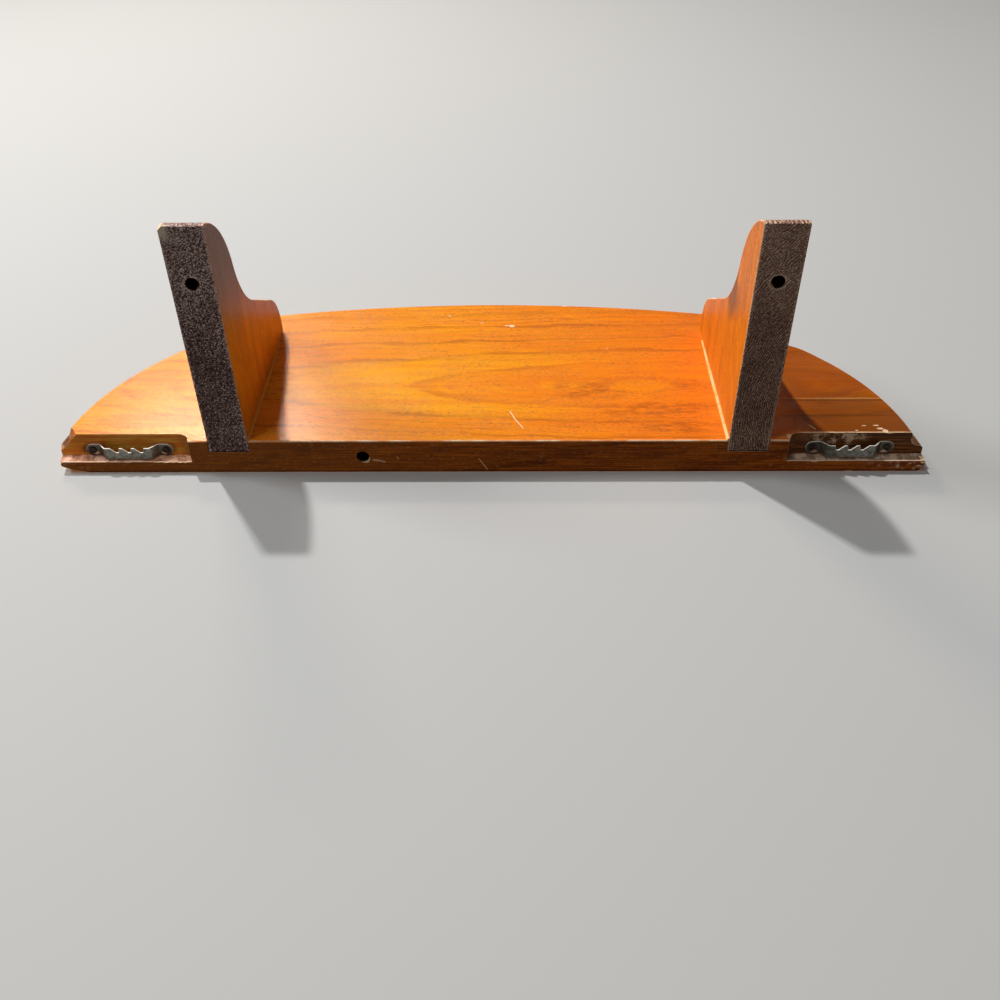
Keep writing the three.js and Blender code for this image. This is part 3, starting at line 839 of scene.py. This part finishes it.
def make_board():
    bow, shoulder, throat, corner, end = plan_circles()
    piece = edge_section()
    take_all()
    bow_turn = math.degrees(math.asin(BOW_LENGTH / 2 / BOW_RADIUS))
    shoulder_end = heading(shoulder, throat)
    corner_start = heading(corner, throat)
    for centre, turn, steps in (
        (bow, bow_turn, 30),
        (shoulder, shoulder_end - bow_turn, 14),
        (throat, corner_start - shoulder_end, 10),
        (corner, CORNER_TURN - corner_start, 10),
        (end, END_TURN - CORNER_TURN, 40),
    ):
        arc(at(centre.x, centre.y, 0), "Z", turn, steps)
    leave_all()
    use(piece, "MIRROR", merge_threshold=1e-5)
    edit(piece)
    bpy.ops.mesh.bisect(plane_co=(0, 0, 0), plane_no=(0, 1, 0), clear_outer=True, use_fill=False)
    for axis, value in (("Z", TOP), ("Z", UNDERSIDE), ("Y", 0)):
        choose(piece, "EDGE", on_plane(axis, value))
        bpy.ops.mesh.edge_face_add()
    face_out(piece)
    return piece


def flatten_ends(board):
    """Moves the lower part of the moulding outwards towards the ends, where it is worn flatter."""
    edit(board)
    for top, stretch in WORN_MOULDING:
        for side, amount in zip((-1, 1), stretch):
            choose(board, "VERT", lambda v: v.co.z < top * MM and side * v.co.x > WORN_FROM * MM)
            bpy.ops.transform.resize(value=(amount, 1, 1), center_override=at(side * WORN_FROM, 0, 0))
    leave_all()


def soften(piece, width, segments=2, finish=-1, angle=40, test=lambda edge: True):
    """Rounds the outer arrises of the piece."""
    edit(piece)
    choose(piece, "EDGE", lambda e: (
        e.is_manifold and e.is_convex and e.calc_face_angle(0) > math.radians(angle) and test(e)))
    bevel(width, segments, material=finish, clamp_overlap=True)
    leave_all()


def on_lower_back(edge):
    return all(on_back(v) and abs(v.co.z - UNDERSIDE * MM) < NEAR for v in edge.verts)


def cut_recess(board, side):
    past_end = side * (BOARD_LENGTH / 2 + 5)
    start = side * RECESS_START
    recess = box("recess", *sorted((start, past_end)), -RECESS_DEPTH, 5, UNDERSIDE - 5, LEDGE)
    edit(recess)
    choose(recess, "EDGE", lambda e: all(
        abs(v.co.x - start * MM) < NEAR and abs(v.co.y + RECESS_DEPTH * MM) < NEAR for v in e.verts))
    bevel(RECESS_CORNER, 10)
    leave_all()
    finish_with(recess, RECESS_WOOD, LEDGE_WOOD)
    for face in recess.data.polygons:
        face.material_index = int(face.normal.z > 0.9)
    cut(board, recess)


def chip(piece, place, size, seed):
    """Breaks a small flake out of the piece. Its size is given along X, Y and Z."""
    leave_all()
    bpy.ops.mesh.primitive_ico_sphere_add(subdivisions=2, radius=0.5, location=at(*place))
    tool = bpy.context.object
    edit(tool)
    bpy.ops.transform.vertex_random(offset=0.09, seed=seed)
    leave_all()
    tool.scale = at(*size)
    settle(tool)
    cut(piece, finish_with(tool, BARE_WOOD))


def scratch(piece, points, width, depth):
    """Scores a line through these points. Depth is the cut's reach along X, Y and Z."""
    reach = Vector(depth)
    tool = start_point("scratch", at(*(Vector(points[0]) - reach)))
    trace(*(Vector(end) - Vector(start) for start, end in zip(points, points[1:])))
    take_all()
    line(*(2 * reach))
    leave_all()
    use(tool, "SOLIDIFY", thickness=width * MM, offset=0)
    face_out(tool)
    cut(piece, finish_with(tool, BARE_WOOD))


board = make_board()
flatten_ends(board)
finish_with(board, VARNISH, BACK_EDGE, WORN_ARRIS)
for face in board.data.polygons:
    face.material_index = BACK if face.normal.y > 0.9 and abs(face.center.y) < NEAR else VARNISHED
soften(board, 0.75, 3, WORN, test=on_lower_back)
edit(board)
for point, outward, finish in WORN_END:
    take_all()
    bpy.ops.mesh.bisect(plane_co=at(*point), plane_no=outward, clear_outer=True, use_fill=True)
    board.active_material_index = finish
    bpy.ops.object.material_slot_assign()
leave_all()
for side in SIDES.values():
    half = BRACKET_THICKNESS / 2 + FIT
    middle = side * BRACKET_MIDDLE
    housing = box("housing", middle - half, middle + half, -HOUSING_LENGTH, 5,
                  UNDERSIDE - 5, UNDERSIDE + HOUSING_DEPTH)
    cut(board, finish_with(housing, DARK_HOLE))
    cut_recess(board, side)
soften(board, 0.45, 2, WORN)
for name, side in SIDES.items():
    for end in (-1, 1):
        x = side * (HANGER_X + end * NAIL_REACH)
        pilot = drill("pilot", x, HANGER_Z[name], PILOT_RADIUS, PILOT_DEPTH, 16)
        cut(board, finish_with(pilot, DARK_HOLE))
cut(board, finish_with(drill("edge hole", EDGE_HOLE_X, 0, HOLE_RADIUS, EDGE_HOLE_DEPTH), DARK_HOLE))
for flake in FLAKES:
    chip(board, *flake)
for line_cut in UNDERSIDE_SCRATCHES:
    scratch(board, *line_cut)
chip(board, *HOLE_FLAKE)
for line_cut in BACK_SCRATCHES:
    scratch(board, *line_cut)
smooth(board)
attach(board, "root")
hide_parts("shelf_board")


# The brackets

# Planes that the outer corner of each toe is worn back to, as how far they reach across and down
TOE_WEAR = {"left": ((2.4, 0.9), (1.4, 1.6), (0.7, 2.8)), "right": ((0.9, 0.6),)}
BACK_ROWS = 6
ROW_HEIGHT = 20.6
ROW_CUTS = 29


def bracket_profile(x):
    """The side of a bracket, drawn from the wall side of its toe round to its foot."""
    reach = TOE_FLAT + TOE_SETBACK
    toe = Vector((-TOE_SETBACK, BRACKET_HEIGHT - math.sqrt(TOE_RADIUS**2 - reach**2)))
    nose = Vector((BRACKET_DEPTH - NOSE_RADIUS, NOSE_LIFT))
    slope = math.radians(SEAT_SLOPE)
    normal = Vector((math.sin(slope), math.cos(slope)))
    along = Vector((math.cos(slope), -math.sin(slope)))
    nose_top = nose + normal * NOSE_RADIUS
    above = HOLLOW_RADIUS - (toe - nose_top).dot(normal)
    run = math.sqrt((TOE_RADIUS + HOLLOW_RADIUS) ** 2 - above**2)
    hollow = toe + normal * above + along * run
    meeting = math.degrees(math.atan2(hollow.y - toe.y, hollow.x - toe.x))
    toe_start = math.degrees(math.acos(reach / TOE_RADIUS))
    seat = 90 - SEAT_SLOPE
    foot = HOUSING_LENGTH - FIT

    def centre(point):
        return at(x, -point.x, UNDERSIDE - point.y)

    piece = start_point("bracket", at(x, 0, TOE))
    line(0, -TOE_FLAT, 0)
    arc(centre(toe), "X", meeting - toe_start, 26)
    arc(centre(hollow), "X", seat - meeting, 26)
    straight = nose_top - (hollow - normal * HOLLOW_RADIUS)
    line(0, -straight.x, -straight.y)
    arc(centre(nose), "X", -seat, 22)
    trace((0, 0, NOSE_LIFT - FIT), (0, BRACKET_DEPTH - foot, 0), (0, 0, HOUSING_DEPTH), (0, foot, 0))
    return piece


def sawn_grains():
    """Short rough grains, as end grain torn by a blunt saw."""
    texture = bpy.data.textures.new("sawn grains", "CLOUDS")
    texture.noise_scale = 1
    texture.noise_depth = 1
    texture.contrast = 1.3
    return texture


def saw_rings():
    """The arcs that a round saw leaves."""
    texture = bpy.data.textures.new("saw rings", "WOOD")
    texture.wood_type = "RINGNOISE"
    texture.noise_scale = 0.6
    texture.turbulence = 4
    return texture


def roughen_back(piece, texture, strength, place, scale):
    """Divides the back into small squares and lets a texture sink them. The texture has its middle at
    this place and is scaled by this much."""
    def take_back():
        choose(piece, "FACE", lambda f: f.normal.y > 0.9 and all(map(on_back, f.verts)))

    edit(piece)
    for row in range(1, BACK_ROWS):
        take_back()
        bpy.ops.mesh.bisect(plane_co=at(0, 0, TOE + row * ROW_HEIGHT), plane_no=(0, 0, 1))
    take_back()
    bpy.ops.mesh.subdivide(number_cuts=ROW_CUTS)
    leave_all()
    group = piece.vertex_groups.new(name="back")
    group.add([v.index for v in piece.data.vertices if on_back(v)], 1, "REPLACE")
    bpy.ops.object.empty_add(location=at(*place))
    centre = bpy.context.object
    centre.scale = (scale, scale, scale)
    bpy.context.view_layer.update()
    use(piece, "DISPLACE", texture=texture, strength=-strength * MM, mid_level=-0.1, direction="Y",
        vertex_group="back", texture_coords="OBJECT", texture_coords_object=centre)
    bpy.data.objects.remove(centre)


def make_bracket(name, side):
    middle = side * BRACKET_MIDDLE
    piece = bracket_profile(middle - BRACKET_THICKNESS / 2)
    piece.name = "bracket_" + name + "_finished"
    fill()
    line(BRACKET_THICKNESS, 0, 0)
    face_out(piece)
    finish_with(piece, BRACKET_VARNISH, GRAINY_BACK if side < 0 else SAWN_BACK, WORN_ARRIS)
    soften(piece, 0.6, 3, WORN)
    for face in piece.data.polygons:
        if face.normal.y > 0.3 or face.normal.z < -0.9 and face.center.z < (TOE + 1) * MM:
            face.material_index = BACK
    if side < 0:
        roughen_back(piece, sawn_grains(), 0.18, (0, 0, 0), 0.0009)
    else:
        roughen_back(piece, saw_rings(), 0.2, SAW_CENTRE, 0.0075)
    hole = drill("hole", middle, BRACKET_HOLE_Z, HOLE_RADIUS, BRACKET_HOLE_DEPTH)
    cut(piece, finish_with(hole, DARK_HOLE))
    edit(piece)
    outer = middle + side * BRACKET_THICKNESS / 2
    for across, down in TOE_WEAR[name]:
        take_all()
        bpy.ops.mesh.bisect(plane_co=at(outer - side * across, 0, TOE), plane_no=(side * down, 0.15, -across),
                            clear_outer=True, use_fill=True)
    leave_all()
    for face in piece.data.polygons:
        if side * face.normal.x > 0.3 and face.normal.z < -0.3:
            face.material_index = WORN
    smooth(piece)
    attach(piece, "root")
    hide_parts("bracket_" + name)


def make_bead(name, side):
    """The varnish that pooled along the foot of a bracket's inner side. It thins out towards the nose."""
    size = 1.0 if side < 0 else 1.2
    sunk = 0.3
    foot = side * (BRACKET_MIDDLE - BRACKET_THICKNESS / 2)
    piece = start_point("varnish_bead_" + name, at(foot - side * size, -0.3, UNDERSIDE))
    trace((side * size, 0, -size), (side * sunk, 0, 0), (0, 0, size + sunk), (-side * (size + sunk), 0, 0))
    fill()
    trace((0, -66, 0), (0, -32, 0))
    bpy.ops.transform.resize(value=(0.4, 1, 0.4), center_override=at(foot, 0, UNDERSIDE))
    face_out(piece)
    finish_with(piece, BEAD)
    smooth(piece)
    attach(piece, "root")


for name, side in SIDES.items():
    make_bracket(name, side)
    make_bead(name, side)


# The hangers and their nails

def bent_strip():
    """A strip of sheet, bent out in the middle, seen from above."""
    half = HANGER_LENGTH / 2 + 2
    flat = half - (PLATEAU / 2 + RAMP)
    piece = start_point("hanger", at(-half, SEAT_GAP - RECESS_DEPTH, -HANGER_HEIGHT))
    trace((flat, 0, 0), (RAMP, HANGER_RISE, 0), (PLATEAU, 0, 0), (RAMP, -HANGER_RISE, 0), (flat, 0, 0))
    choose(piece, "VERT", lambda v: len(v.link_edges) == 2)
    bevel(SHEET_BEND, 3, "VERTICES")
    take_all()
    line(0, 0, 2 * HANGER_HEIGHT)
    take_all()
    bpy.ops.mesh.normals_make_consistent(inside=False)
    leave_all()
    outward = 1 if piece.data.polygons[0].normal.y > 0 else -1
    use(piece, "SOLIDIFY", thickness=SHEET * MM, offset=outward)
    face_out(piece)
    return piece


def stamp():
    """The outline that the strip is stamped to, with its three notches."""
    half = HANGER_HEIGHT / 2
    straight = HANGER_LENGTH / 2 - half
    steep, floor, slope = 0.5, 1.5, 2.9
    notch = steep + floor + slope
    piece = start_point("stamp", at(-straight, -10, half))
    arc(at(-straight, -10, 0), "Y", -180, 16)
    x = -straight
    for number in (-1, 0, 1):
        start = number * NOTCH_PITCH - notch / 2
        trace((start - x, 0, 0), (steep, 0, NOTCH_DEPTH), (floor, 0, 0), (slope, 0, -NOTCH_DEPTH))
        x = start + notch
    line(straight - x, 0, 0)
    arc(at(straight, -10, 0), "Y", -180, 16)
    choose(piece, "VERT", lambda v: abs(v.co.x) < PLATEAU / 2 * MM and v.co.z < half * 0.9 * MM)
    bevel(0.3, 2, "VERTICES")
    take_all()
    bpy.ops.mesh.remove_doubles(threshold=NEAR)
    fill()
    line(0, 14, 0)
    face_out(piece)
    return piece


def make_hanger(name, side):
    piece = finish_with(bent_strip(), ZINC, CUT_EDGE)
    piece.name = "hanger_" + name + "_finished"
    cut(piece, finish_with(stamp(), CUT_EDGE), "INTERSECT")
    face = SEAT_GAP + SHEET - RECESS_DEPTH
    for end in (-1, 1):
        x = end * NAIL_REACH
        dish = start_point("dish", at(x, face - 1, 0))
        trace((1.25, 0, 0), (0, 0.55, 0), (1.25, 0.45, 0), (0, 0.5, 0), (-2.5, 0, 0))
        turn_round(dish, x, 0, 28)
        cut(piece, finish_with(dish, ZINC))
    soften(piece, 0.22, 2, finish=1)
    if side < 0:
        piece.scale.x = -1
    piece.location = at(side * HANGER_X, 0, HANGER_Z[name])
    settle(piece)
    face_out(piece)
    smooth(piece)
    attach(piece, "root")
    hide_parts("hanger_" + name)


def make_nail(name, side, end):
    place = "inner" if end < 0 else "outer"
    x, z = side * (HANGER_X + end * NAIL_REACH), HANGER_Z[name]
    seat = SEAT_GAP + SHEET - RECESS_DEPTH - 0.3
    piece = start_point("hanger_nail_" + name + "_" + place + "_finished", at(x, seat - NAIL_LENGTH, z))
    trace((NAIL_SHANK, NAIL_POINT, 0), (0, NAIL_LENGTH - NAIL_POINT, 0), (NAIL_RADIUS - NAIL_SHANK, 0.35, 0),
          (0, 0.25, 0), (-0.25, 0.18, 0), (-0.7, 0.17, 0), (0.95 - NAIL_RADIUS, 0.05, 0))
    turn_round(piece, x, z, 24)
    finish_with(piece, NAIL_METAL)
    smooth(piece, 40)
    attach(piece, "root")
    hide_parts("hanger_nail_" + name + "_" + place)


for name, side in SIDES.items():
    make_hanger(name, side)
    for end in (-1, 1):
        make_nail(name, side, end)


# The studio

def pale_floor():
    """A pale sheet on the shelf's top face that shows only from the brackets' side."""
    leave_all()
    bpy.ops.mesh.primitive_plane_add(size=8, location=at(0, 0, TOP + 0.15), rotation=(math.pi, 0, 0))
    floor = bpy.context.object
    floor.name = "floor"
    settle(floor)
    material = bpy.data.materials.new("pale floor")
    material.use_nodes = True
    tree = material.node_tree
    tree.nodes.clear()
    path = add(tree, "LightPath").outputs
    mirrored = work_out(tree, "MAXIMUM", path["Is Glossy Ray"], path["Is Transmission Ray"])
    seen = work_out(tree, "MAXIMUM", path["Is Camera Ray"], mirrored)
    front = less(tree, 1.0, add(tree, "NewGeometry").outputs["Backfacing"])
    clear = add(tree, "BsdfTransparent").outputs[0]
    paper = add(tree, "BsdfDiffuse", {"Color": (0.52, 0.52, 0.51, 1)}).outputs[0]
    mixed = add(tree, "MixShader", {0: times(tree, seen, front), 1: clear, 2: paper}).outputs[0]
    add(tree, "OutputMaterial", {"Surface": mixed})
    finish_with(floor, material)


def soft_lamp(name, place, width, height, power, colour=(1, 1, 1)):
    """A soft lamp that points at the shelf. Its width lies level, all its sizes are metres."""
    leave_all()
    bpy.ops.object.light_add(type="AREA", location=place)
    lamp = bpy.context.object
    lamp.name = name
    lamp.data.shape = "RECTANGLE"
    lamp.data.size = width
    lamp.data.size_y = height
    lamp.data.energy = power
    lamp.data.color = colour
    lamp.rotation_euler = Vector(place).to_track_quat("Z", "Y").to_euler()


def pale_world(strength, shown, overhead):
    """Even light. The camera sees a plain pale backdrop, and so do shiny surfaces, to which it darkens
    overhead, on the brackets' side."""
    world = bpy.data.worlds.new("studio")
    bpy.context.scene.world = world
    world.use_nodes = True
    tree = world.node_tree
    path = add(tree, "LightPath").outputs
    direction = add(tree, "SeparateXYZ", {0: add(tree, "TexCoord").outputs["Generated"]}).outputs
    mirrored = spread(tree, direction["Z"], -0.35, -0.05, overhead, shown)
    level = add(tree, "Mix", {"Factor": path["Is Glossy Ray"], "A": strength, "B": mirrored}).outputs[0]
    seen = work_out(tree, "MAXIMUM", path["Is Camera Ray"], path["Is Transmission Ray"])
    level = add(tree, "Mix", {"Factor": seen, "A": level, "B": shown}).outputs[0]
    sky = tree.nodes["Background"]
    sky.inputs["Color"].default_value = (1, 1, 1, 1)
    tree.links.new(level, sky.inputs["Strength"])


def photo_camera():
    bpy.ops.object.camera_add()
    camera = bpy.context.object
    turn = Matrix.Identity(4)
    for degrees, axis in CAMERA_TURNS:
        turn = turn @ Matrix.Rotation(math.radians(degrees), 4, axis)
    camera.matrix_world = Matrix.Translation(at(*CAMERA_PLACE)) @ turn
    camera.data.sensor_width = SENSOR_WIDTH
    camera.data.lens = FOCAL_LENGTH * SENSOR_WIDTH / PHOTO_WIDTH
    camera.data.clip_start = 0.01
    camera.data.clip_end = 50
    bpy.context.scene.camera = camera


pale_floor()
soft_lamp("key lamp", (-0.66, -0.87, -2.0), 0.08, 0.08, 31)
soft_lamp("ledge lamp", (-0.55, 0.35, -2.0), 0.3, 0.1, 6)
soft_lamp("left lamp", (-1.2, -0.24, -1.04), 0.45, 0.45, 9.6)
soft_lamp("sheen lamp", (-0.54, -1.12, -0.88), 0.36, 0.12, 4.7, (1.0, 0.85, 0.72))
soft_lamp("top lamp", (0.16, -0.56, 1.49), 0.8, 0.8, 16)
pale_world(0.13, 0.7, 0.03)
photo_camera()
bpy.context.scene.view_settings.view_transform = "Standard"
